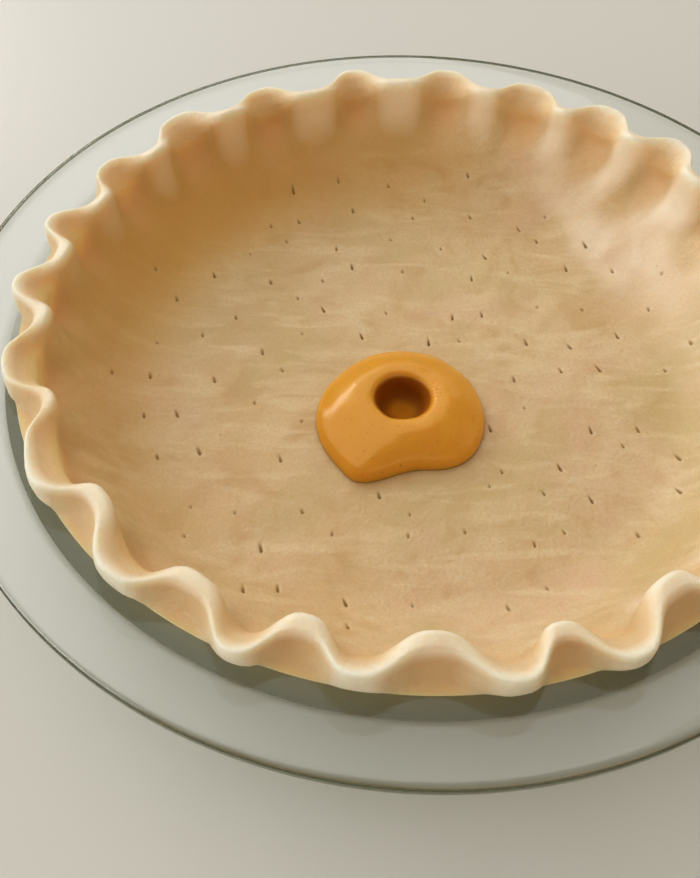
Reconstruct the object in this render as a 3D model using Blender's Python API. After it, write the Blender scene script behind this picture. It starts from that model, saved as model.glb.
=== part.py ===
# A pumpkin pie at its first pour: a raw fluted pastry shell in a clear glass dish, with a small pool of filling.
# Metres, +Z up. The origin is the centre of the dish's foot, on the surface that the dish stands on.
import bpy
import bmesh
from math import atan2, cos, exp, hypot, pi, radians, sin, tan
from mathutils import Matrix, Vector

GAP = 0.0003                    # between pieces that rest on each other
ARC_STEPS = 2                   # straight stretches in a rounded corner
SHARP_ANGLE = radians(50)       # corners sharper than this are shaded as corners

# Glass dish
RIM_RADIUS = 0.127
RIM_HEIGHT = 0.036              # the rim slopes up to this from the well
WELL_RADIUS = 0.107             # where the sloping wall meets the rim
WELL_HEIGHT = 0.033
WALL_SLOPE = radians(52)
RIM_SLOPE = (RIM_HEIGHT - WELL_HEIGHT) / (RIM_RADIUS - WELL_RADIUS)
GLASS_FLOOR = 0.005             # thickness of the bottom
GLASS_WALL = 0.0072
GLASS_RIM = 0.0052
WELL_CORNER = 0.0022            # rounding between wall and rim, inside
FLOOR_CORNER = 0.014            # rounding between floor and wall, inside
UNDER_RIM_RISE = 0.0007         # how much thinner the rim is at the wall
UNDER_RIM_CORNER = 0.0035
RIM_EDGE_CORNER = 0.0020
BASE_CORNER = 0.007
FOOT_RADIUS = 0.078             # inner edge of the foot ring
FOOT_RECESS = 0.0007            # how far the bottom stands clear inside the foot ring
GLASS_STEPS = 60                # steps of the turned shape

# Pastry shell
DOUGH = 0.0035                  # thickness of the rolled dough
DOUGH_FLOOR_CORNER = 0.0185     # rounding between its floor and its wall, inside
EDGE_FOOT = 0.030               # height at which the inner face leaves the wall's slope
EDGE_FOOT_CORNER = 0.010
# The two corners of the standing edge's top, half way between a crest and a lobe: (radius, height, rounding).
EDGE_INSIDE = (0.0997, 0.0388, 0.0036)
EDGE_OUTSIDE = (0.1053, 0.0411, 0.0012)
LIP_RADIUS = 0.1083             # where the outer face comes down on the glass
LIP_THICKNESS = 0.0008
FLUTES = 23
# How far the two corners swing to each side of their middle, and how much higher they stand on a crest.
DEPTH_INSIDE, DEPTH_OUTSIDE = 0.0023, 0.0038
RISE_INSIDE, RISE_OUTSIDE = 0.0033, -0.0002
SWING_FROM, SWING_FULL = 0.017, 0.036   # the swing grows between these heights on the inner face
LIP_SHARE = 0.5                 # share of the swing that is left at the lip
FIRST_CREST = radians(298)
CREST_FLATTENING = 0.28         # how much flatter than a plain wave the crests and lobes are
# The pinches drift off even spacing, lean, and differ in depth and height: (waves per turn, size, shift).
FLUTE_DRIFT = ((1, radians(3.3), radians(30)), (3, radians(1.65), radians(231)))
FLUTE_LEAN = ((2, 0.20, 0.6), (5, 0.25, 2.4))
DEPTH_DRIFT = ((2, 0.06, 1.22), (7, 0.06, 0.4))
HEIGHT_DRIFT = ((3, 0.0004, 0.5), (8, 0.0005, 2.0))
# Single pinches that are off their place, and where the edge stands out or in: (direction, spread, how far).
FLUTE_STRAYS = ((radians(196), radians(24), radians(3.6)),
                (radians(261), radians(9), radians(2.2)),
                (radians(278), radians(6), radians(-1.5)),
                (radians(299), radians(8), radians(-1.6)))
EDGE_SWELLS = ((radians(292.5), radians(5), 0.0013),
               (radians(246), radians(4), 0.0013),
               (radians(208), radians(4), -0.0018),
               (radians(261.5), radians(4), -0.0009),
               (radians(117), radians(5), -0.0014),
               (radians(108), radians(3), -0.0008))
SHELL_STEPS = 161

# Pool of filling
POOL_CENTRE = Vector((-0.0035, -0.019, 0))
POOL_RADIUS = 0.0242
POOL_HEIGHT = 0.0085
# Its outside and the round hollow in its middle: (radius, height above its underside, rounding).
POOL_EDGE = (POOL_RADIUS, 0.0024, 0.0030)
POOL_SIDE = (0.0168, 0.0066, 0)
POOL_RING = (0.0118, POOL_HEIGHT, 0.0060)
DENT_LIP = (0.0080, 0.0077, 0.0030)
DENT_FLOOR = (0.0056, 0.0008, 0.0040)
DENT_OFFSET = Vector((0.0007, 0.0026, 0))
# Where the outline draws in or bulges: (direction, spread, how far).
POOL_SWELLS = ((radians(-80), radians(31), -0.0060),
               (radians(-120), radians(13), 0.0020),
               (radians(135), radians(30), -0.0012))
POOL_STEPS = 40


def waves(angle, terms):
    return sum(size * sin(count * angle + shift) for count, size, shift in terms)


def swells(angle, terms):
    """Sum of single swells, each strongest in its own direction."""
    total = 0
    for direction, spread, size in terms:
        away = (angle - direction + pi) % (2 * pi) - pi
        total += size * exp(-(away / spread) ** 2)
    return total


def clamped(value):
    return min(max(value, 0.0), 1.0)


def smooth_step(low, high, value):
    share = clamped((value - low) / (high - low))
    return share * share * (3 - 2 * share)


def rounded(corners):
    """Profile through corners given as (radius, height, fillet), with an arc in place of each filleted one."""
    points = []
    for index, (radius, height, fillet) in enumerate(corners):
        corner = Vector((radius, height))
        if fillet == 0:
            points.append(corner)
            continue
        to_last = (Vector(corners[index - 1][:2]) - corner).normalized()
        to_next = (Vector(corners[index + 1][:2]) - corner).normalized()
        half = to_last.angle(to_next) / 2
        centre = corner + (to_last + to_next).normalized() * fillet / sin(half)
        first = corner + to_last * fillet / tan(half) - centre
        last = corner + to_next * fillet / tan(half) - centre
        turn = atan2(first.x * last.y - first.y * last.x, first.dot(last))
        for step in range(ARC_STEPS + 1):
            points.append(centre + Matrix.Rotation(turn * step / ARC_STEPS, 2) @ first)
    return points


def turned(profile, steps):
    """Closed solid of revolution from a profile that starts and ends on the Z axis."""
    mesh = bmesh.new()
    ring = [mesh.verts.new((point.x, 0, point.y)) for point in profile]
    edges = [mesh.edges.new(pair) for pair in zip(ring, ring[1:])]
    bmesh.ops.spin(mesh, geom=ring + edges, cent=(0, 0, 0), axis=(0, 0, 1), angle=2 * pi,
                   steps=steps, use_merge=True)
    bmesh.ops.remove_doubles(mesh, verts=mesh.verts, dist=1e-6)
    bmesh.ops.recalc_face_normals(mesh, faces=mesh.faces)
    return mesh


def wall_radius(height, offset):
    """Radius of the well's wall at a height, on a surface moved inwards by offset."""
    return WELL_RADIUS + (height - WELL_HEIGHT) / tan(WALL_SLOPE) - offset / sin(WALL_SLOPE)


def floor_corner(offset, fillet):
    """Corner between the well's floor and wall, on a surface moved inwards by offset."""
    height = GLASS_FLOOR + offset
    return wall_radius(height, offset), height, fillet


def well_corner(offset):
    """Corner between the well's wall and the rim, on a surface moved inwards by offset."""
    rim_lift = offset * hypot(1, RIM_SLOPE)
    wall_shift = offset / sin(WALL_SLOPE)
    # The wall line r = well + (z - height) / tan - shift meets the rim line z = height + slope (r - well) + lift.
    out = (rim_lift / tan(WALL_SLOPE) - wall_shift) / (1 - RIM_SLOPE / tan(WALL_SLOPE))
    return WELL_RADIUS + out, WELL_HEIGHT + RIM_SLOPE * out + rim_lift, WELL_CORNER + offset


def clearance(radius, height):
    """How far a point stands off the dish's inner surface."""
    from_wall = (wall_radius(height, 0) - radius) * sin(WALL_SLOPE)
    from_rim = height - WELL_HEIGHT - RIM_SLOPE * (radius - WELL_RADIUS)
    if height < WELL_HEIGHT:
        return min(height - GLASS_FLOOR, from_wall)
    return max(from_wall, from_rim)


def glass_dish():
    under_rim = WELL_HEIGHT - GLASS_RIM + UNDER_RIM_RISE
    profile = rounded((
        (0, FOOT_RECESS, 0),
        (FOOT_RADIUS - FOOT_RECESS, FOOT_RECESS, 0),
        (FOOT_RADIUS, 0, 0),
        (wall_radius(0, -GLASS_WALL), 0, BASE_CORNER),
        (wall_radius(under_rim, -GLASS_WALL), under_rim, UNDER_RIM_CORNER),
        (RIM_RADIUS, RIM_HEIGHT - GLASS_RIM, RIM_EDGE_CORNER),
        (RIM_RADIUS, RIM_HEIGHT, RIM_EDGE_CORNER),
        well_corner(0),
        floor_corner(0, FLOOR_CORNER),
        (0, GLASS_FLOOR, 0)))
    return turned(profile, GLASS_STEPS)


def inward(angle):
    """How the fluting swings at an angle round the rim: 1 on a crest pinched inwards, -1 on an outer lobe."""
    drift = waves(angle, FLUTE_DRIFT) + swells(angle, FLUTE_STRAYS)
    phase = FLUTES * (angle + drift - FIRST_CREST)
    swing = cos(phase + waves(angle, FLUTE_LEAN) * sin(phase))
    return swing * (1 + CREST_FLATTENING * (1 - swing * swing))


def flute(mesh):
    """Swing the standing edge in and out. What lies on the glass stays where it is."""
    for vertex in mesh.verts:
        radius = hypot(vertex.co.x, vertex.co.y)
        if vertex.co.z < SWING_FROM or clearance(radius, vertex.co.z) < 2 * GAP:
            continue
        angle = atan2(vertex.co.y, vertex.co.x)
        across = clamped((radius - EDGE_INSIDE[0]) / (EDGE_OUTSIDE[0] - EDGE_INSIDE[0]))
        if radius > (EDGE_INSIDE[0] + EDGE_OUTSIDE[0]) / 2:
            share = smooth_step(WELL_HEIGHT, EDGE_OUTSIDE[1] - EDGE_OUTSIDE[2], vertex.co.z)
            share = LIP_SHARE + (1 - LIP_SHARE) * share
        else:
            share = smooth_step(SWING_FROM, SWING_FULL, vertex.co.z)
        swing = inward(angle)
        depth = DEPTH_INSIDE * (1 - across) + DEPTH_OUTSIDE * across
        radius -= share * depth * swing * (1 + waves(angle, DEPTH_DRIFT))
        radius += share * swells(angle, EDGE_SWELLS) * (1 + across) / 2
        rise = RISE_INSIDE * (1 - across) + RISE_OUTSIDE * across
        rise = share * (rise * swing + waves(angle, HEIGHT_DRIFT))
        rise *= smooth_step(SWING_FROM, EDGE_INSIDE[1], vertex.co.z)
        vertex.co = Vector((radius * cos(angle), radius * sin(angle), vertex.co.z + rise))


def pastry_shell():
    outer_top = well_corner(GAP)
    lip_height = outer_top[1] + RIM_SLOPE * (LIP_RADIUS - outer_top[0])
    profile = rounded((
        (0, GLASS_FLOOR + GAP + DOUGH, 0),
        floor_corner(GAP + DOUGH, DOUGH_FLOOR_CORNER),
        (wall_radius(EDGE_FOOT, GAP + DOUGH), EDGE_FOOT, EDGE_FOOT_CORNER),
        EDGE_INSIDE,
        EDGE_OUTSIDE,
        (LIP_RADIUS, lip_height + LIP_THICKNESS, 0),
        (LIP_RADIUS, lip_height, 0),
        outer_top,
        floor_corner(GAP, FLOOR_CORNER - GAP),
        (0, GLASS_FLOOR + GAP, 0)))
    mesh = turned(profile, SHELL_STEPS)
    flute(mesh)
    return mesh


def pumpkin_filling():
    bottom = GLASS_FLOOR + GAP + DOUGH + GAP
    sides = [(radius, bottom + height, fillet)
             for radius, height, fillet in (POOL_EDGE, POOL_SIDE, POOL_RING, DENT_LIP, DENT_FLOOR)]
    profile = rounded((
        (0, bottom, 0),
        (POOL_RADIUS, bottom, 0),
        *sides,
        (0, bottom + DENT_FLOOR[1], 0)))
    mesh = turned(profile, POOL_STEPS)
    for vertex in mesh.verts:
        angle = atan2(vertex.co.y, vertex.co.x)
        share = smooth_step(0, POOL_RADIUS, hypot(vertex.co.x, vertex.co.y))
        spread = 1 + share * swells(angle, POOL_SWELLS) / POOL_RADIUS
        vertex.co = Vector((vertex.co.x * spread, vertex.co.y * spread, vertex.co.z)) + DENT_OFFSET * (1 - share)
    bmesh.ops.translate(mesh, verts=mesh.verts, vec=POOL_CENTRE)
    return mesh


def material(name, colour, roughness, transmission=0.0):
    finish = bpy.data.materials.new(name)
    finish.use_nodes = True
    shader = finish.node_tree.nodes["Principled BSDF"]
    shader.inputs["Base Color"].default_value = (*colour, 1)
    shader.inputs["Roughness"].default_value = roughness
    shader.inputs["Transmission Weight"].default_value = transmission
    return finish


def place(name, mesh, finish):
    data = bpy.data.meshes.new(name)
    mesh.to_mesh(data)
    mesh.free()
    data.materials.append(finish)
    data.shade_smooth()
    data.set_sharp_from_angle(angle=SHARP_ANGLE)
    bpy.context.scene.collection.objects.link(bpy.data.objects.new(name, data))


for old in list(bpy.data.objects):
    bpy.data.objects.remove(old, do_unlink=True)

place("glass_dish", glass_dish(), material("clear_glass", (0.86, 0.93, 0.89), 0.03, transmission=1.0))
place("pastry_shell", pastry_shell(), material("raw_pastry", (0.76, 0.58, 0.36), 0.6))
place("pumpkin_filling", pumpkin_filling(), material("pumpkin_cream", (0.62, 0.25, 0.04), 0.25))
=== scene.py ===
import bpy
import bmesh
import random
from math import atan2, cos, exp, hypot, pi, radians, sin, tan
from mathutils import Matrix, Vector, noise


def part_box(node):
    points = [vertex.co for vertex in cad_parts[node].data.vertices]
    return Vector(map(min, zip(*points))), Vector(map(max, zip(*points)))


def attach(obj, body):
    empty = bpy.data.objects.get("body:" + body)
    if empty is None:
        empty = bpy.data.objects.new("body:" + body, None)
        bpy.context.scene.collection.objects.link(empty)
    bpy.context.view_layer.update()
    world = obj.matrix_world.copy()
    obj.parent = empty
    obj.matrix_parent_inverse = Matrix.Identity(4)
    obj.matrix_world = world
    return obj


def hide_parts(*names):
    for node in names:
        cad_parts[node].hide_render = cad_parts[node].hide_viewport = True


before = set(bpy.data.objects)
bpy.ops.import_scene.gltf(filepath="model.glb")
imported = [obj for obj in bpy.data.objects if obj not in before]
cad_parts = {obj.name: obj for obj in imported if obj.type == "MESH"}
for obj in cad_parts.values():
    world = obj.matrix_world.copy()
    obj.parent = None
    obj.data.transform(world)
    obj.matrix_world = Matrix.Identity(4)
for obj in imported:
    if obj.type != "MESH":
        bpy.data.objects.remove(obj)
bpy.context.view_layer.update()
dishLow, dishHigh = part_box("glass_dish")
poolLow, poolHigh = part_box("pumpkin_filling")
rimRadius = dishHigh.x
rimHeight = dishHigh.z


# small helpers

def waves(angle, terms):
    # each term is (waves per turn, size, shift)
    return sum(size * sin(count * angle + shift) for count, size, shift in terms)


def ease(low, high, value):
    # 0 at low, 1 at high, whichever of them is the larger
    share = min(max((value - low) / (high - low), 0.0), 1.0)
    return share * share * (3 - 2 * share)


def away(angle, direction):
    return (angle - direction + pi) % (2 * pi) - pi


def bell(value, spread):
    return exp(-(value / spread) ** 2)


def rough(point, size, seed):
    return noise.noise(Vector((point.x / size + seed, point.y / size - seed, point.z / size)))


def drawOutline(corners, segments):
    # corners are (radius, height, reach of the rounding along each side)
    mesh = bmesh.new()
    points = [mesh.verts.new((corner[0], 0, corner[1])) for corner in corners]
    for pair in zip(points, points[1:]):
        mesh.edges.new(pair)
    for point, corner in zip(points, corners):
        if corner[2]:
            bmesh.ops.bevel(mesh, geom=[point], offset=corner[2], offset_type="OFFSET", affect="VERTICES",
                            segments=segments, profile=0.5, material=-1, clamp_overlap=False)
    return mesh


def cutLongStretches(mesh, longest):
    # longest gives the longest stretch allowed round a place
    for edge in list(mesh.edges):
        cuts = int(edge.calc_length() / longest((edge.verts[0].co + edge.verts[1].co) / 2))
        if cuts:
            bmesh.ops.subdivide_edges(mesh, edges=[edge], cuts=cuts)


def turnOutline(mesh, steps):
    # one quarter is turned and then copied round, which is much quicker than a full turn
    bmesh.ops.spin(mesh, geom=mesh.verts[:] + mesh.edges[:], cent=(0, 0, 0), axis=(0, 0, 1),
                   angle=pi / 2, steps=steps // 4)
    quarter = mesh.verts[:] + mesh.edges[:] + mesh.faces[:]
    for turn in (1, 2, 3):
        copy = bmesh.ops.duplicate(mesh, geom=quarter)["geom"]
        bmesh.ops.rotate(mesh, verts=[part for part in copy if isinstance(part, bmesh.types.BMVert)],
                         cent=(0, 0, 0), matrix=Matrix.Rotation(turn * pi / 2, 3, "Z"))
    bmesh.ops.remove_doubles(mesh, verts=mesh.verts, dist=1e-6)
    bmesh.ops.recalc_face_normals(mesh, faces=mesh.faces)
    mesh.normal_update()


def addPiece(name, mesh, finish, node):
    data = bpy.data.meshes.new(name)
    mesh.to_mesh(data)
    mesh.free()
    data.materials.append(finish)
    data.shade_smooth()
    piece = bpy.data.objects.new(name, data)
    bpy.context.scene.collection.objects.link(piece)
    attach(piece, "root")
    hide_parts(node)
    print(name, "has", len(data.polygons), "faces")
    return piece


# glass dish

dish = {
    "wellRadius": rimRadius - 0.020,    # where the sloping wall meets the rim
    "wellHeight": rimHeight - 0.003,
    "wallSlope": radians(52),
    "floor": 0.005,                     # thickness of the bottom
    "wall": 0.0072,
    "rim": 0.0052,
    "underRimRise": 0.0007,             # how much thinner the rim is at the wall
    "footRadius": 0.078,
    "footRecess": 0.0007,
    "footReach": 0.0004,
    "floorReach": 0.0068,               # rounding between floor and wall, inside
    "wellReach": 0.0009,
    "rimEdgeReach": 0.0020,
    "underRimReach": 0.0014,
    "baseReach": 0.0034,
    "segments": 8,
    "longest": 0.006,
    "steps": 256,
}
rimSlope = (rimHeight - dish["wellHeight"]) / (rimRadius - dish["wellRadius"])


def wallRadius(height, inset):
    # radius of the well's wall at a height, on a surface moved inwards by inset
    slope = dish["wallSlope"]
    return dish["wellRadius"] + (height - dish["wellHeight"]) / tan(slope) - inset / sin(slope)


def wellTop(inset):
    # corner between the wall and the rim, on a surface moved inwards by inset
    slope = dish["wallSlope"]
    lift = inset * hypot(1, rimSlope)
    out = (lift / tan(slope) - inset / sin(slope)) / (1 - rimSlope / tan(slope))
    return dish["wellRadius"] + out, dish["wellHeight"] + rimSlope * out + lift


def makeDish(finish):
    underRim = dish["wellHeight"] - dish["rim"] + dish["underRimRise"]
    mesh = drawOutline((
        (0, dish["footRecess"], 0),
        (dish["footRadius"] - dish["footRecess"], dish["footRecess"], dish["footReach"]),
        (dish["footRadius"], 0, dish["footReach"]),
        (wallRadius(0, -dish["wall"]), 0, dish["baseReach"]),
        (wallRadius(underRim, -dish["wall"]), underRim, dish["underRimReach"]),
        (rimRadius, rimHeight - dish["rim"], dish["rimEdgeReach"]),
        (rimRadius, rimHeight, dish["rimEdgeReach"]),
        (*wellTop(0), dish["wellReach"]),
        (wallRadius(dish["floor"], 0), dish["floor"], dish["floorReach"]),
        (0, dish["floor"], 0)), dish["segments"])
    cutLongStretches(mesh, lambda place: dish["longest"])
    turnOutline(mesh, dish["steps"])
    return addPiece("glass_pie_dish", mesh, finish, "glass_dish")


# pastry shell

shell = {
    "intoGlass": 0.00025,               # how far the dough reaches into the glass, so that no air shows
    "dough": 0.0038,
    "floorReach": 0.0090,
    "footHeight": 0.0300,               # where the inner face leaves the wall's slope
    "footReach": 0.0035,
    "inRadius": 0.0997,                 # inner and outer corner of the edge's top, between crest and lobe
    "inHeight": 0.0388,
    "inReach": 0.0024,
    "outRadius": 0.1053,
    "outHeight": 0.0411,
    "outReach": 0.0012,
    "lipRadius": 0.1083,                # where the outer face meets the glass
    "lipReach": 0.0007,
    "bare": 0.4,                        # the skin is uneven beyond this share of the dough's thickness
    "outFrom": 0.0002,                  # the outer face swings from this far off the glass
    "outTo": 0.0008,
    "segments": 7,
    "longest": 0.0013,                  # longest stretch of the outline before it is turned
    "longestUnder": 0.02,               # and where it lies on the glass
    "steps": 460,
}

fluting = {
    "count": 23,
    "inDepth": 0.0023,                  # how far the edge's inner and outer corner swing to each side
    "outDepth": 0.0038,
    "inRise": 0.0033,                   # how much higher than the middle a crest's inner corner stands
    "outRise": -0.0002,
    "lipShare": 0.50,                   # how much of the swing is left where the edge meets the glass
    "from": 0.0170,                     # the swing grows between these heights on the inner face
    "to": 0.0360,
    "firstCrest": radians(298),
    "drift": ((1, radians(3.3), radians(30)), (3, radians(1.65), radians(231))),
    "strays": ((radians(196), radians(24), radians(3.6)),     # (bearing, spread, shift) of single pinches
               (radians(261), radians(9), radians(2.2)),
               (radians(278), radians(6), radians(-1.5)),
               (radians(299), radians(8), radians(-1.6))),
    "lean": ((2, 0.20, 0.6), (5, 0.25, 2.4)),
    "glowBearing": radians(190),        # painted light: the lobes round here get the strongest painted glow inside
    "glowSpread": radians(45),
    "glowFrom": 0.029,
    "fade": 0.8,                        # and the painted highlight on the proud folds between them is that much weaker
    "flat": 0.28,                       # how much flatter than a sine the crests and lobes are
    "depthDrift": ((2, 0.06, 1.22), (7, 0.06, 0.4)),
    "heightDrift": ((3, 0.0004, 0.5), (8, 0.0005, 2.0)),
    "bulges": ((radians(292.5), radians(5), 0.0013),    # (bearing, spread, by how much the edge stands out)
               (radians(246), radians(4), 0.0013),
               (radians(208), radians(4), -0.0018),
               (radians(261.5), radians(4), -0.0009),
               (radians(117), radians(5), -0.0014),
               (radians(108), radians(3), -0.0008)),
    "grooveBearing": radians(293),      # a crease along the outside of one lobe
    "grooveSpread": radians(2.6),
    "grooveHeight": 0.0375,
    "grooveWidth": 0.0008,
    "grooveDepth": 0.0008,
}

# unevenness of the rolled dough and of the pinched edge: (size, height)
doughLumps = ((0.030, 0.00060), (0.013, 0.00036), (0.0055, 0.00016))
edgeLumps = ((0.016, 0.00060), (0.006, 0.00028), (0.0028, 0.00010))

wallLightAndShade = {                           # painted light on the lit side of the wall and painted shade on its shaded side
    "litBearing": radians(38),
    "litSpread": radians(27),
    "shadeBearing": radians(140),
    "shadeSpread": radians(62),
    "from": 0.064,                      # distances from the middle
    "to": 0.086,
    "proudFrom": -0.5,                  # the painted light on the wall stays on the folds that stand proud
    "proudTo": 0.3,
    "patchy": 0.45,
    "lift": 0.2,
    "size": 0.014,
}

creases = {                             # soft wrinkles that the rolling left, strongest at one place
    "direction": radians(48),
    "length": 0.022,
    "width": 0.0062,
    "height": 0.00050,
    "middle": Vector((0.048, 0.032)),
    "spread": 0.040,
    "elsewhere": 0.22,
    "bend": 0.006,                      # they wander this much
    "bendSize": 0.03,
}

pricks = {                              # marks of the fork
    "spacing": 0.0165,
    "jitter": 0.0050,
    "reachOut": 0.089,                  # they stop on the lower wall
    "length": 0.0035,
    "width": 0.00038,
    "depth": 0.0007,
    "sizes": (0.45, 1.25),
    "direction": radians(-76),          # the tines dragged this way
    "turn": radians(12),                # give or take this
    "fineRadius": 0.0028,               # the skin is finer this near to a mark
    "cell": 0.006,                      # marks are looked up by square cells of this size
    "seed": 11,
}


def inward(angle):
    # 1 on a crest that is pinched inwards, -1 on a lobe
    drift = waves(angle, fluting["drift"])
    drift += sum(shift * bell(away(angle, bearing), spread) for bearing, spread, shift in fluting["strays"])
    phase = fluting["count"] * (angle + drift - fluting["firstCrest"])
    swing = cos(phase + waves(angle, fluting["lean"]) * sin(phase))
    return swing * (1 + fluting["flat"] * (1 - swing * swing))


def acrossEdge(radius):
    # 0 at the edge's inner corner, 1 at its outer corner
    return (radius - shell["inRadius"]) / (shell["outRadius"] - shell["inRadius"])


def pinched(point):
    # where a point of the turned shell goes once its edge is pinched
    radius = hypot(point.x, point.y)
    if radius < wallRadius(fluting["from"], shell["dough"]) - shell["dough"] / 2 or standsOff(point) <= 0:
        return point
    angle = atan2(point.y, point.x)
    swing = inward(angle)
    across = acrossEdge(radius)
    if across > 0.5:
        share = ease(dish["wellHeight"], shell["outHeight"] - shell["outReach"], point.z)
        share = fluting["lipShare"] + (1 - fluting["lipShare"]) * share
        share *= ease(shell["outFrom"], shell["outTo"], standsOff(point))
    else:
        share = ease(fluting["from"], fluting["to"], point.z)
    up = ease(fluting["from"], shell["inHeight"], point.z)
    across = min(max(across, 0), 1)
    depth = fluting["inDepth"] * (1 - across) + fluting["outDepth"] * across
    shift = -share * depth * swing * (1 + waves(angle, fluting["depthDrift"]))
    rise = up * (swing * (fluting["inRise"] * (1 - across) + fluting["outRise"] * across)
                 + waves(angle, fluting["heightDrift"])) * share
    stand = sum(size * bell(away(angle, bearing), spread) for bearing, spread, size in fluting["bulges"])
    groove = bell(away(angle, fluting["grooveBearing"]), fluting["grooveSpread"]) ** 0.5
    groove *= bell(point.z - fluting["grooveHeight"], fluting["grooveWidth"]) * (across > 0.9)
    radius += shift + share * stand * (1 + across) / 2 - groove * fluting["grooveDepth"]
    return Vector((radius * cos(angle), radius * sin(angle), point.z + rise))


def standsOff(point):
    # how far a point of the shell stands off the glass
    radius = hypot(point.x, point.y)
    fromWall = (wallRadius(point.z, 0) - radius) * sin(dish["wallSlope"])
    fromRim = point.z - dish["wellHeight"] - rimSlope * (radius - dish["wellRadius"])
    if point.z < dish["wellHeight"]:
        return min(point.z - dish["floor"], fromWall)
    return max(fromWall, fromRim)


def foldAt(point):
    # 1 where the pinched edge stands proud, -1 in the hollow of a fold, and how far across the edge it is
    share = ease(fluting["from"], fluting["to"], point.z)
    if share == 0 or standsOff(point) <= 0:
        return 0, 0
    across = min(max(acrossEdge(hypot(point.x, point.y)), 0), 1)
    return share * (1 - 2 * across) * inward(atan2(point.y, point.x)), across


def wallLightAndShadeAt(point, fold):
    # above 0 where light is painted on the wall, below 0 where shade is painted on it
    angle = atan2(point.y, point.x)
    up = ease(wallLightAndShade["from"], wallLightAndShade["to"], hypot(point.x, point.y))
    lit = bell(away(angle, wallLightAndShade["litBearing"]), wallLightAndShade["litSpread"])
    lit *= ease(wallLightAndShade["proudFrom"], wallLightAndShade["proudTo"], fold)
    patch = rough(point, wallLightAndShade["size"], 4.4) + wallLightAndShade["lift"]
    lit *= ease(-wallLightAndShade["patchy"], wallLightAndShade["patchy"], patch)
    shaded = bell(away(angle, wallLightAndShade["shadeBearing"]), wallLightAndShade["shadeSpread"])
    return up * (lit - shaded * (1 - lit))


def creaseHeight(point):
    along = point.x * cos(creases["direction"]) + point.y * sin(creases["direction"])
    across = point.y * cos(creases["direction"]) - point.x * sin(creases["direction"])
    share = bell((point.xy - creases["middle"]).length, creases["spread"])
    share = creases["elsewhere"] + (1 - creases["elsewhere"]) * share
    bend = creases["bend"] * rough(point, creases["bendSize"], 5.2)
    place = Vector((along / creases["length"], (across + bend) / creases["width"], 2.6))
    return creases["height"] * share * noise.noise(place)


def lumpHeight(point):
    share = ease(fluting["from"], fluting["to"], point.z)
    plain = sum(height * rough(point, size, 3.1 + 100 * size) for size, height in doughLumps)
    plain += creaseHeight(point)
    if share == 0:
        return plain
    return plain * (1 - share) + share * sum(height * rough(point, size, 7.7) for size, height in edgeLumps)


def placePricks():
    # a staggered net of fork marks, each moved a little: (place, size, direction)
    pick = random.Random(pricks["seed"])
    spread = pricks["reachOut"]
    marks = []
    row = 0
    y = -spread
    while y < spread:
        x = -spread + (row % 2) * pricks["spacing"] / 2
        while x < spread:
            shift = Vector((pick.uniform(-1, 1), pick.uniform(-1, 1))) * pricks["jitter"]
            place = Vector((x, y)) + shift
            size = pick.uniform(*pricks["sizes"])
            direction = pricks["direction"] + pricks["turn"] * pick.uniform(-1, 1)
            if place.length < spread and not underPool(place):
                marks.append((place, size, direction))
            x += pricks["spacing"]
        y += pricks["spacing"] * sin(pi / 3)
        row += 1
    return marks


def underPool(place):
    middle = (poolLow + poolHigh).xy / 2
    return (place - middle).length < (poolHigh.x - poolLow.x) / 2


def refineAtPricks(mesh, marks):
    cell = pricks["fineRadius"]
    cells = {}
    for vertex in mesh.verts:
        if standsOff(vertex.co) > shell["dough"] / 2 and vertex.co.z < fluting["from"]:
            cells.setdefault((vertex.co.x // cell, vertex.co.y // cell), []).append(vertex)
    near = set()
    for place, _, _ in marks:
        column, row = place.x // cell, place.y // cell
        for i in (-1, 0, 1):
            for j in (-1, 0, 1):
                for vertex in cells.get((column + i, row + j), ()):
                    if (vertex.co.xy - place).length < cell:
                        near.add(vertex)
    edges = [edge for edge in mesh.edges if edge.verts[0] in near and edge.verts[1] in near]
    bmesh.ops.subdivide_edges(mesh, edges=edges, cuts=2, use_grid_fill=True)


def prickDepth(place, marks):
    # 0 on whole dough, 1 at the bottom of a mark
    deepest = 0
    for middle, size, direction in marks:
        along = (place - middle).x * cos(direction) + (place - middle).y * sin(direction)
        across = (place - middle).y * cos(direction) - (place - middle).x * sin(direction)
        half = pricks["length"] * size / 2
        # a long slope in and a steep end, as a dragged tine leaves
        slope = ease(-half, half * 0.6, along) * (1 - ease(half * 0.7, half, along))
        deepest = max(deepest, slope * bell(across, pricks["width"]) * (0.35 + 0.65 * size))
    return deepest


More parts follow.
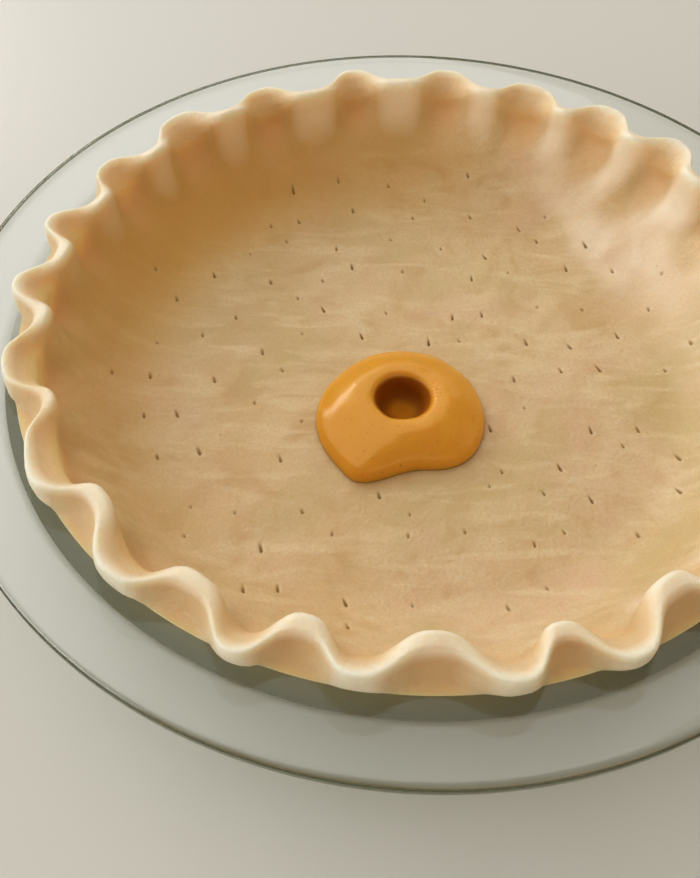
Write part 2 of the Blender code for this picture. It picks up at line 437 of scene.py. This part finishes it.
def makeShell(finish):
    into = -shell["intoGlass"]
    top = wellTop(into)
    lipHeight = top[1] + rimSlope * (shell["lipRadius"] - top[0])
    insideFloor = dish["floor"] + shell["dough"]
    mesh = drawOutline((
        (0, insideFloor, 0),
        (wallRadius(insideFloor, shell["dough"]), insideFloor, shell["floorReach"]),
        (wallRadius(shell["footHeight"], shell["dough"]), shell["footHeight"], shell["footReach"]),
        (shell["inRadius"], shell["inHeight"], shell["inReach"]),
        (shell["outRadius"], shell["outHeight"], shell["outReach"]),
        (shell["lipRadius"], lipHeight, shell["lipReach"]),
        (*top, dish["wellReach"]),
        (wallRadius(dish["floor"] + into, into), dish["floor"] + into, dish["floorReach"]),
        (0, dish["floor"] + into, 0)), shell["segments"])
    cutLongStretches(mesh, lambda place: shell["longest" if standsOff(place) > 0 else "longestUnder"])
    turnOutline(mesh, shell["steps"])
    marks = placePricks()
    refineAtPricks(mesh, marks)
    mesh.normal_update()
    cell = pricks["cell"]
    cells = {}
    for mark in marks:
        for i in (-1, 0, 1):
            for j in (-1, 0, 1):
                cells.setdefault((mark[0].x // cell + i, mark[0].y // cell + j), []).append(mark)
    prickShadeLayer = mesh.verts.layers.float.new("prick_shade")
    foldLayer = mesh.verts.layers.float.new("fold")
    paintedGlowLayer = mesh.verts.layers.float.new("painted_glow")
    wallLightShadeLayer = mesh.verts.layers.float.new("tone")
    glassSideShadeLayer = mesh.verts.layers.float.new("glass_side_shade")
    moves = []
    for vertex in mesh.verts:
        rest = vertex.co.copy()
        move = Vector((0, 0, 0))
        depth = 0
        if standsOff(rest) > shell["dough"] * shell["bare"]:
            move += vertex.normal * lumpHeight(rest)
            if rest.z < fluting["from"]:
                depth = prickDepth(rest.xy, cells.get((rest.x // cell, rest.y // cell), ()))
                move.z -= depth * pricks["depth"]
        # painted shade in the fork marks follows their depth
        vertex[prickShadeLayer] = depth
        fold, across = foldAt(rest)
        # painted light: a glow inside the lobes on the left, and a weaker painted highlight on the proud
        # folds there
        side = bell(away(atan2(rest.y, rest.x), fluting["glowBearing"]), fluting["glowSpread"])
        side *= across < 0.5
        vertex[foldLayer] = fold * (1 - fluting["fade"] * side * (fold > 0))
        vertex[paintedGlowLayer] = max(-fold, 0) * side * ease(fluting["glowFrom"], fluting["to"], rest.z)
        # light and shade painted on the wall by bearing
        vertex[wallLightShadeLayer] = wallLightAndShadeAt(rest, fold)
        # the side of the dough against the glass, where shade is painted
        vertex[glassSideShadeLayer] = standsOff(rest) <= 0
        moves.append(move)
    for vertex, move in zip(mesh.verts, moves):
        vertex.co = pinched(vertex.co) + move
    return addPiece("dough_shell", mesh, finish, "pastry_shell")


# pool of filling

pool = {
    "centre": Vector((-0.0035, -0.019, 0)),
    "radius": 0.0242,
    "edgeHeight": 0.0024,               # its outer edge, its shoulder, a step and the ring round the hollow
    "edgeReach": 0.0021,
    "shoulderRadius": 0.0208,
    "shoulderHeight": 0.0047,
    "shoulderReach": 0.0021,
    "stepRadius": 0.0168,
    "stepHeight": 0.0066,
    "stepReach": 0.0021,
    "ringRadius": 0.0118,
    "ringReach": 0.0024,
    "lumps": ((0.014, 0.00070), (0.007, 0.00030), (0.0035, 0.00008)),
    "sink": 0.0008,                     # how far it reaches into the dough
    "dentRadius": 0.0080,               # the round hollow in its middle
    "lipFrom": 0.0076,                  # the painted shade inside it ends between these distances
    "lipTo": 0.0088,
    "dentDrop": 0.0008,
    "dentReach": 0.0023,
    "dentFloor": 0.0004,                # filling left under the hollow
    "dentFloorRadius": 0.0056,
    "dentFloorReach": 0.0030,
    "ripples": 46,                      # fine creases across the hollow's lip, on one side
    "rippleHeight": 0.00005,
    "rippleSize": 0.004,
    "rippleBearing": radians(10),
    "rippleSpread": radians(40),
    "dentShift": Vector((0.0007, 0.0026, 0)),
    "swells": ((radians(-80), radians(31), -0.0060),      # (direction, spread, by how much)
               (radians(-120), radians(13), 0.0020),
               (radians(135), radians(30), -0.0012)),
    "segments": 8,
    "longest": 0.0007,
    "steps": 240,
}


def swell(angle):
    return sum(size * bell(away(angle, direction), spread) for direction, spread, size in pool["swells"])


def makePool(finish):
    bottom = poolLow.z
    top = poolHigh.z
    mesh = drawOutline((
        (0, bottom - pool["sink"], 0),
        (pool["radius"], bottom - pool["sink"], 0),
        (pool["radius"], bottom + pool["edgeHeight"], pool["edgeReach"]),
        (pool["shoulderRadius"], bottom + pool["shoulderHeight"], pool["shoulderReach"]),
        (pool["stepRadius"], bottom + pool["stepHeight"], pool["stepReach"]),
        (pool["ringRadius"], top, pool["ringReach"]),
        (pool["dentRadius"], top - pool["dentDrop"], pool["dentReach"]),
        (pool["dentFloorRadius"], bottom + pool["dentFloor"], pool["dentFloorReach"]),
        (0, bottom + pool["dentFloor"], 0)), pool["segments"])
    cutLongStretches(mesh, lambda place: pool["longest"])
    turnOutline(mesh, pool["steps"])
    hollow = mesh.verts.layers.float.new("hollow")
    for vertex in mesh.verts:
        angle = atan2(vertex.co.y, vertex.co.x)
        radius = vertex.co.xy.length
        inside = 1 - ease(pool["lipFrom"], pool["lipTo"], radius)
        depth = ease(top - pool["dentDrop"], top - pool["dentDrop"] - pool["dentReach"] / 2, vertex.co.z)
        # painted shade inside the hollow: 0.5 on its wall, up to 1 on its floor
        vertex[hollow] = inside * depth * (0.5 + 0.5 * ease(0.95, 0.4, radius / pool["dentFloorRadius"]))
        side = bell(away(angle, pool["rippleBearing"]), pool["rippleSpread"])
        side *= bell(radius - pool["dentRadius"] - pool["dentReach"] / 2, pool["dentReach"])
        if vertex.co.z > bottom:
            phase = pool["ripples"] * angle + 3 * rough(vertex.co, pool["rippleSize"], 6.1)
            vertex.co.z += pool["rippleHeight"] * side * sin(phase)
        share = ease(0, 1, radius / pool["radius"])
        spread = 1 + share * swell(angle) / pool["radius"]
        vertex.co = Vector((vertex.co.x * spread, vertex.co.y * spread, vertex.co.z))
        vertex.co += pool["dentShift"] * (1 - share)
        if vertex.co.z > bottom:
            vertex.co.z += sum(height * rough(vertex.co, size, 1.3) for size, height in pool["lumps"])
    bmesh.ops.translate(mesh, verts=mesh.verts, vec=pool["centre"])
    return addPiece("filling_pool", mesh, finish, "pumpkin_filling")


# finishes

def newFinish(name):
    finish = bpy.data.materials.new(name)
    finish.use_nodes = True
    return finish, finish.node_tree, finish.node_tree.nodes["Principled BSDF"]


glassLook = {
    "roughness": 0.01,
    "ior": 1.50,
    "tint": (0.30, 0.70, 0.50, 1),
    "density": 7.0,
    "passes": (0.97, 0.98, 0.97, 1),    # share of a lamp's light that comes through
}


def glassFinish():
    finish, tree, shader = newFinish("clear_glass")
    shader.inputs["Base Color"].default_value = (1, 1, 1, 1)
    shader.inputs["Roughness"].default_value = glassLook["roughness"]
    shader.inputs["IOR"].default_value = glassLook["ior"]
    shader.inputs["Transmission Weight"].default_value = 1
    absorb = tree.nodes.new("ShaderNodeVolumeAbsorption")
    absorb.inputs["Color"].default_value = glassLook["tint"]
    absorb.inputs["Density"].default_value = glassLook["density"]
    tree.links.new(absorb.outputs["Volume"], tree.nodes["Material Output"].inputs["Volume"])
    # light that falls through the glass goes straight on
    path = tree.nodes.new("ShaderNodeLightPath")
    clear = tree.nodes.new("ShaderNodeBsdfTransparent")
    clear.inputs["Color"].default_value = glassLook["passes"]
    shown = shader.outputs["BSDF"]
    for ray in ("Is Shadow Ray", "Is Diffuse Ray"):
        choice = tree.nodes.new("ShaderNodeMixShader")
        tree.links.new(path.outputs[ray], choice.inputs[0])
        tree.links.new(shown, choice.inputs[1])
        tree.links.new(clear.outputs["BSDF"], choice.inputs[2])
        shown = choice.outputs[0]
    tree.links.new(shown, tree.nodes["Material Output"].inputs["Surface"])
    return finish


doughLook = {
    "plain": (0.74, 0.555, 0.335, 1),
    "pale": (0.78, 0.63, 0.43, 1),
    "streak": (0.82, 0.68, 0.47, 1),
    "deep": (0.66, 0.465, 0.25, 1),
    "pink": (0.76, 0.55, 0.385, 1),
    "olive": (0.66, 0.53, 0.29, 1),
    "wall": (0.74, 0.495, 0.195, 1),    # painted shade: the shaded side of the wall is darker and more saturated
    "speck": (0.50, 0.33, 0.15, 1),
    "glass_side_shade": (0.38, 0.34, 0.27, 1),   # painted shade on the dough against the glass, near its top
    "blotches": (("deep", 60, 1.5, 0.7),    # (tone, scale, twist, the most of it)
                 ("pink", 33, 0.6, 0.7),
                 ("olive", 21, 0.8, 0.8)),
    "under": (0.60, 0.47, 0.31, 1),     # and lower down, where the painted shade is lighter
    "underFrom": 0.011,
    "underTo": 0.023,
    "edgeToneFrom": 0.026,
    "edge": (0.85, 0.67, 0.44, 1),      # the pinched edge is paler: partly drier dough, partly a painted highlight along its top
    "painted_highlight": (0.98, 0.865, 0.73, 1),   # painted highlight where it stands proud, along its top and on the lit side of the wall
    "fold": (0.79, 0.555, 0.31, 1),     # painted shade in the hollows of its outside
    "glow": (1.0, 0.78, 0.46, 1),       # painted light: a golden glow inside the lobes on the left, standing in for light the lamps don't give
    # painted shade in the fork marks
    "prick_shade": (0.36, 0.20, 0.06, 1),
    "subsurface": 0.7,
    "subsurfaceReach": (1.0, 0.78, 0.56),
    "subsurfaceScale": 0.0038,
    "bump": 0.0004,
}


def noiseNode(tree, scale, detail, coordinates, distortion=0):
    node = tree.nodes.new("ShaderNodeTexNoise")
    node.inputs["Scale"].default_value = scale
    node.inputs["Detail"].default_value = detail
    node.inputs["Distortion"].default_value = distortion
    tree.links.new(coordinates, node.inputs["Vector"])
    return node.outputs["Fac"]


def layerNode(tree, name):
    node = tree.nodes.new("ShaderNodeAttribute")
    node.attribute_name = name
    return node.outputs["Fac"]


def mixColours(tree, share, first, second):
    node = tree.nodes.new("ShaderNodeMix")
    node.data_type = "RGBA"
    for value, socket in ((share, 0), (first, 6), (second, 7)):
        if hasattr(value, "links"):
            tree.links.new(value, node.inputs[socket])
        else:
            node.inputs[socket].default_value = value
    return node.outputs[2]


def rangeNode(tree, value, fromLow, fromHigh, toLow, toHigh):
    node = tree.nodes.new("ShaderNodeMapRange")
    tree.links.new(value, node.inputs["Value"])
    numbers = (("From Min", fromLow), ("From Max", fromHigh), ("To Min", toLow), ("To Max", toHigh))
    for name, number in numbers:
        node.inputs[name].default_value = number
    return node.outputs["Result"]


def softShader(shader, look):
    shader.inputs["Subsurface Weight"].default_value = look["subsurface"]
    shader.inputs["Subsurface Radius"].default_value = look["subsurfaceReach"]
    shader.inputs["Subsurface Scale"].default_value = look["subsurfaceScale"]


def laidOver(tree, colour, tone, value, fromLow, fromHigh, most):
    # the tone over the colour, from none where the value is fromLow up to the most at fromHigh
    return mixColours(tree, rangeNode(tree, value, fromLow, fromHigh, 0, most), colour, tone)


def doughFinish():
    finish, tree, shader = newFinish("raw_pastry")
    place = tree.nodes.new("ShaderNodeTexCoord").outputs["Object"]
    look = doughLook
    colour = laidOver(tree, look["plain"], look["pale"], noiseNode(tree, 28, 3, place), 0.35, 0.65, 1)
    for tone, scale, twist, most in look["blotches"]:
        patches = noiseNode(tree, scale, 4, place, twist)
        colour = laidOver(tree, colour, look[tone], patches, 0.48, 0.68, most)
    turned = tree.nodes.new("ShaderNodeMapping")
    turned.inputs["Rotation"].default_value = (0, 0, -creases["direction"])
    turned.inputs["Scale"].default_value = (1, creases["length"] / creases["width"], 1)
    tree.links.new(place, turned.inputs["Vector"])
    streaks = noiseNode(tree, 48, 3, turned.outputs["Vector"], 0.8)
    colour = laidOver(tree, colour, look["streak"], streaks, 0.48, 0.70, 0.8)
    colour = laidOver(tree, colour, look["deep"], noiseNode(tree, 1300, 3, place), 0.4, 0.7, 0.4)
    split = tree.nodes.new("ShaderNodeSeparateXYZ")
    tree.links.new(place, split.inputs["Vector"])
    height = split.outputs["Z"]
    tone = layerNode(tree, "tone")
    # painted shade on the shaded side of the wall, painted highlight on its lit side
    colour = laidOver(tree, colour, look["wall"], tone, 0, -1, 0.85)
    colour = laidOver(tree, colour, look["painted_highlight"], tone, 0, 1, 0.85)
    # the edge's top is paler: partly drier dough, partly painted highlight
    colour = laidOver(tree, colour, look["edge"], height, look["edgeToneFrom"], shell["outHeight"], 0.9)
    # painted shade in the hollows of the folds, painted highlight where they stand proud
    fold = layerNode(tree, "fold")
    colour = laidOver(tree, colour, look["fold"], fold, -0.1, -0.9, 0.9)
    colour = laidOver(tree, colour, look["painted_highlight"], fold, 0.2, 0.9, 0.8)
    # painted glow inside the lobes on the left
    colour = laidOver(tree, colour, look["glow"], layerNode(tree, "painted_glow"), 0, 0.6, 1)
    # painted highlight along the top of the edge
    colour = laidOver(tree, colour, look["painted_highlight"], height, shell["inHeight"], shell["outHeight"], 0.7)
    colour = laidOver(tree, colour, look["speck"], noiseNode(tree, 620, 2, place), 0.74, 0.80, 0.5)
    # painted shade in the fork marks, by their depth
    colour = laidOver(tree, colour, look["prick_shade"], layerNode(tree, "prick_shade"), 0.1, 0.9, 1)
    # painted shade on the dough against the glass, darkest near its top
    under = laidOver(tree, look["under"], look["glass_side_shade"], height, look["underFrom"], look["underTo"], 1)
    glass_side_shade = layerNode(tree, "glass_side_shade")
    colour = mixColours(tree, glass_side_shade, colour, under)
    tree.links.new(colour, shader.inputs["Base Color"])
    grain = noiseNode(tree, 700, 4, place)
    bump = tree.nodes.new("ShaderNodeBump")
    tree.links.new(rangeNode(tree, glass_side_shade, 0, 1, 0.7, 0), bump.inputs["Strength"])
    bump.inputs["Distance"].default_value = look["bump"]
    tree.links.new(grain, bump.inputs["Height"])
    tree.links.new(bump.outputs["Normal"], shader.inputs["Normal"])
    tree.links.new(rangeNode(tree, grain, 0.3, 0.7, 0.42, 0.56), shader.inputs["Roughness"])
    softShader(shader, look)
    return finish


fillingLook = {
    "smooth": (0.79, 0.425, 0.074, 1),
    "speck": (0.34, 0.14, 0.03, 1),
    # painted shade inside the hollow, darker on its wall than on its floor
    "hollow": (0.38, 0.135, 0.001, 1),
    "deepest": (0.60, 0.25, 0.002, 1),
    "roughness": 0.20,
    "hollowRoughness": 0.75,
    "specular": 0.5,
    "subsurface": 0.6,
    "subsurfaceReach": (1.0, 0.35, 0.08),
    "subsurfaceScale": 0.004,
}


def fillingFinish():
    finish, tree, shader = newFinish("pumpkin_filling")
    place = tree.nodes.new("ShaderNodeTexCoord").outputs["Object"]
    look = fillingLook
    colour = laidOver(tree, look["smooth"], look["speck"], noiseNode(tree, 1400, 2, place), 0.66, 0.74, 0.5)
    hollow = layerNode(tree, "hollow")
    # painted shade in the hollow: the layer is 0.5 on the hollow's wall and 1 on its floor
    colour = laidOver(tree, colour, look["hollow"], hollow, 0, 0.5, 1)
    colour = laidOver(tree, colour, look["deepest"], hollow, 0.5, 1, 1)
    tree.links.new(colour, shader.inputs["Base Color"])
    dull = rangeNode(tree, hollow, 0, 0.5, look["roughness"], look["hollowRoughness"])
    tree.links.new(dull, shader.inputs["Roughness"])
    shader.inputs["Specular IOR Level"].default_value = look["specular"]
    softShader(shader, look)
    return finish


def floorFinish():
    finish, tree, shader = newFinish("pale_floor")
    shader.inputs["Base Color"].default_value = studio["floorColour"]
    shader.inputs["Roughness"].default_value = studio["floorRoughness"]
    return finish


# studio

studio = {
    "floorRadius": 4.0,
    "floorSteps": 96,
    "floorColour": (0.72, 0.70, 0.66, 1),
    "floorRoughness": 0.38,
    "sky": (1.0, 0.89, 0.68, 1),
    "skyStrength": 0.21,
}

lamps = {                               # direction and height above the floor, both seen from the pie
    "ceiling": {"azimuth": radians(138), "elevation": radians(60), "distance": 2.6,
                "width": 4.0, "height": 3.6, "power": 35.0, "colour": (0.95, 0.98, 1.0)},
    "window": {"azimuth": radians(132), "elevation": radians(26), "distance": 3.0,
               "width": 1.8, "height": 0.55, "power": 11.0, "colour": (1.0, 0.97, 0.94)},
    "side": {"azimuth": radians(202), "elevation": radians(13), "distance": 3.0,
             "width": 2.2, "height": 0.8, "power": 20.0, "colour": (0.80, 0.90, 1.0)},
    "back": {"azimuth": radians(82), "elevation": radians(28), "distance": 3.0,
             "width": 3.6, "height": 1.6, "power": 8.0, "colour": (0.94, 0.97, 1.0)},
    "bounce": {"azimuth": radians(-68), "elevation": radians(24), "distance": 2.5,
               "width": 2.0, "height": 1.0, "power": 4.8, "colour": (1.0, 0.88, 0.70)},
    "right": {"azimuth": radians(0), "elevation": radians(30), "distance": 3.0,
              "width": 2.0, "height": 1.0, "power": 3.0, "colour": (1.0, 0.86, 0.62)},
}


def makeStudio():
    mesh = bmesh.new()
    bmesh.ops.create_circle(mesh, cap_ends=True, radius=studio["floorRadius"],
                            segments=studio["floorSteps"])
    data = bpy.data.meshes.new("floor")
    mesh.to_mesh(data)
    mesh.free()
    data.materials.append(floorFinish())
    floor = bpy.data.objects.new("floor", data)
    bpy.context.scene.collection.objects.link(floor)
    world = bpy.data.worlds.new("sky")
    world.use_nodes = True
    world.node_tree.nodes["Background"].inputs["Color"].default_value = studio["sky"]
    world.node_tree.nodes["Background"].inputs["Strength"].default_value = studio["skyStrength"]
    bpy.context.scene.world = world
    for name, lamp in lamps.items():
        light = bpy.data.lights.new(name, "AREA")
        light.shape = "RECTANGLE"
        light.size = lamp["width"]
        light.size_y = lamp["height"]
        light.energy = lamp["power"]
        light.color = lamp["colour"]
        out = Vector((cos(lamp["azimuth"]) * cos(lamp["elevation"]),
                      sin(lamp["azimuth"]) * cos(lamp["elevation"]), sin(lamp["elevation"])))
        shine = bpy.data.objects.new(name, light)
        shine.location = out * lamp["distance"]
        shine.rotation_euler = out.to_track_quat("Z", "Y").to_euler()
        bpy.context.scene.collection.objects.link(shine)


shot = {
    "aim": Vector((-0.140, -0.361)),    # in rim radii, at the rim's height
    "distance": 1.628,                  # in rim radii
    "elevation": radians(54.16),
    "roll": radians(0.41),
    "lens": 34.85,
    "clipStart": 0.001,
}


def makeCamera():
    data = bpy.data.cameras.new("camera")
    data.sensor_width = 36
    data.lens = shot["lens"]
    data.clip_start = shot["clipStart"]
    camera = bpy.data.objects.new("camera", data)
    aim = Vector((*(shot["aim"] * rimRadius), rimHeight))
    back = Vector((0, -cos(shot["elevation"]), sin(shot["elevation"])))
    turned = Matrix.Rotation(pi / 2 - shot["elevation"], 4, "X") @ Matrix.Rotation(shot["roll"], 4, "Z")
    camera.matrix_world = Matrix.Translation(aim + back * shot["distance"] * rimRadius) @ turned
    bpy.context.scene.collection.objects.link(camera)
    bpy.context.scene.camera = camera


scene = bpy.context.scene
scene.view_settings.view_transform = "Standard"
scene.view_settings.look = "High Contrast"
makeStudio()
makeCamera()
print("studio and camera are ready")
makeDish(glassFinish())
makeShell(doughFinish())
makePool(fillingFinish())
